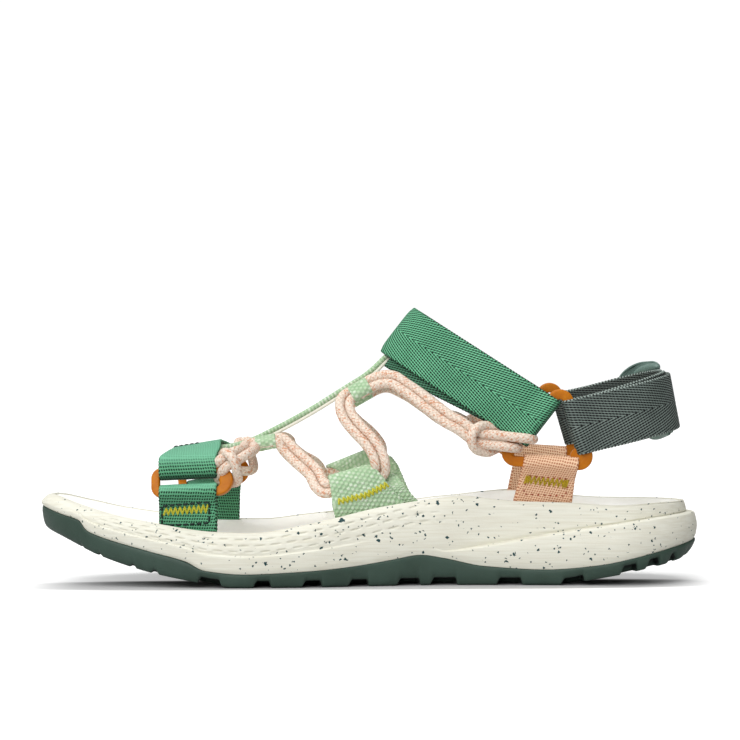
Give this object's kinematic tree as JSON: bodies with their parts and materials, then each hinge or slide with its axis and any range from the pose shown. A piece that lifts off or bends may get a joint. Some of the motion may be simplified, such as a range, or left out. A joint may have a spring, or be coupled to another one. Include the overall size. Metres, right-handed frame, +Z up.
{
  "type": "sport sandal",
  "caption": "Open sport sandal for the right foot: lugged sole, webbing straps on moulded rings, doubled lacing cords along the instep and a slider on the heel strap.",
  "frame": {"origin": "on the ground, under the middle of the sandal's box", "axes": "+X from toe to heel, along the sandal's length; +Y across it, from the medial to the lateral side; +Z up"},
  "size_m": [0.2585, 0.0928, 0.1081],
  "materials": {
    "outsole_rubber": "matte moulded rubber, dark grey-green",
    "midsole_foam": "matte moulded foam, cream with dark specks",
    "footbed_foam": "matte moulded foam, cream",
    "green_webbing": "twill-woven webbing, green",
    "light_green_webbing": "coarse plain-woven webbing, light green",
    "peach_webbing": "plain-woven webbing, peach",
    "grey_webbing": "herringbone webbing, dark grey-green",
    "orange_plastic": "satin moulded plastic, orange",
    "grey_plastic": "satin moulded plastic, grey-green",
    "cord": "braided cord, cream with peach flecks"
  },
  "bodies": {
    "root": {"outsole": "outsole_rubber", "midsole": "midsole_foam", "footbed": "footbed_foam", "upper": "green_webbing", "toe_ring_medial": "orange_plastic", "toe_ring_lateral": "orange_plastic", "toe_anchor_medial": "green_webbing", "toe_anchor_lateral": "green_webbing", "mid_anchor_medial": "light_green_webbing", "mid_anchor_lateral": "light_green_webbing", "heel_ring_medial": "orange_plastic", "heel_ring_lateral": "orange_plastic", "heel_anchor_medial": "peach_webbing", "heel_anchor_lateral": "peach_webbing", "heel_strap": "grey_webbing", "heel_slider": "grey_plastic", "cord_medial": "cord", "cord_lateral": "cord"}
  },
  "joints": []
}
